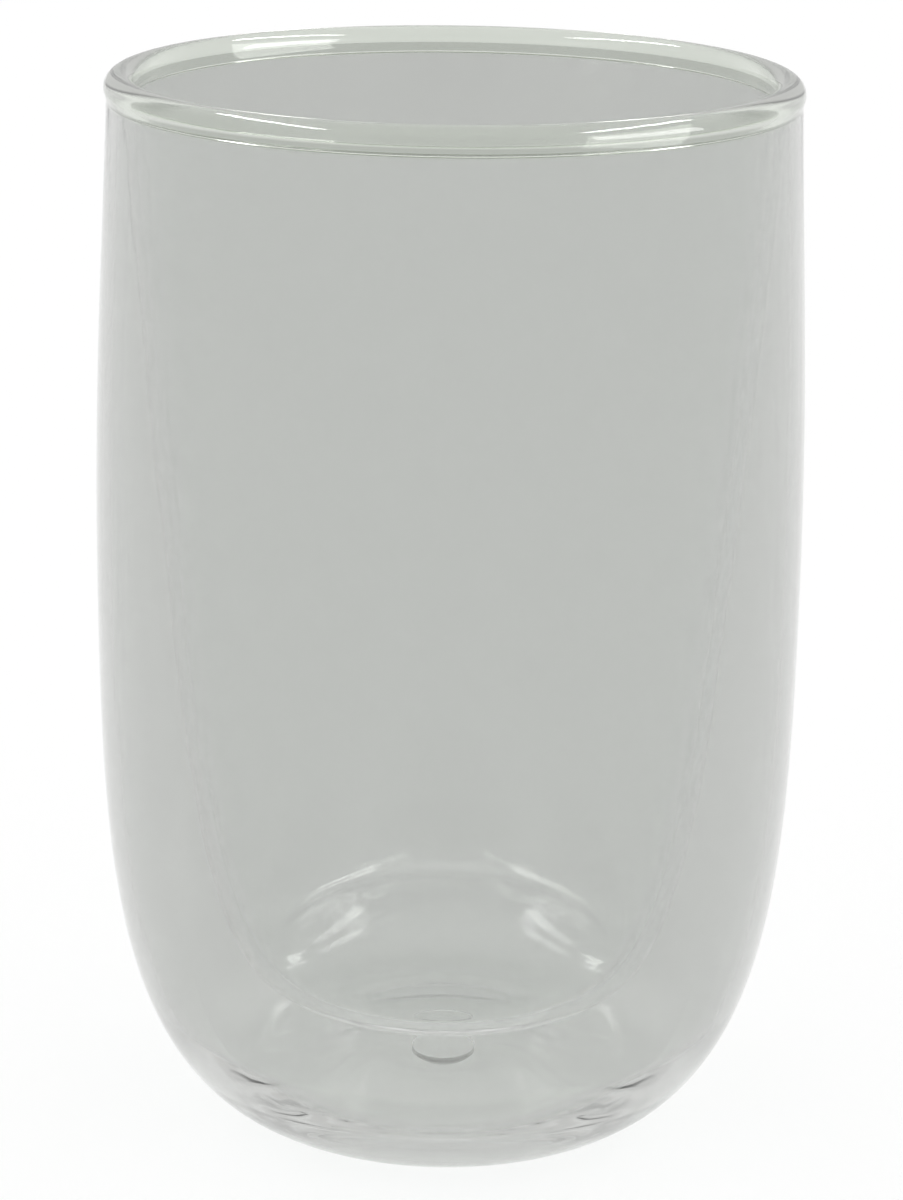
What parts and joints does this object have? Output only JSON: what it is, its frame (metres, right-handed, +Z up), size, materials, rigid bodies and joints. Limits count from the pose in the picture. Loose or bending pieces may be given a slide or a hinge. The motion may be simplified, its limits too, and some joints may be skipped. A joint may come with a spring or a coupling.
{
  "type": "double walled glass cup",
  "caption": "Tall handleless double-walled tumbler in clear glass: a bellied outer shell and a tapered inner cup fused in a solid rim.",
  "frame": {"origin": "centre of the foot ring, on the plane that the glass stands on", "axes": "+Z up along the axis of the glass; X and Y are free, because the glass is round"},
  "size_m": [0.0841, 0.084, 0.1265],
  "materials": {
    "shell_glass": "clear blown borosilicate, fire polished",
    "cup_glass": "clear blown borosilicate, fire polished",
    "rim_glass": "solid fused glass, faintly green through its depth",
    "clear_seal": "translucent clear silicone"
  },
  "bodies": {
    "root": {"outer_shell": "shell_glass", "inner_cup": "cup_glass", "rim_bead": "rim_glass", "vent_plug": "clear_seal"}
  },
  "joints": []
}
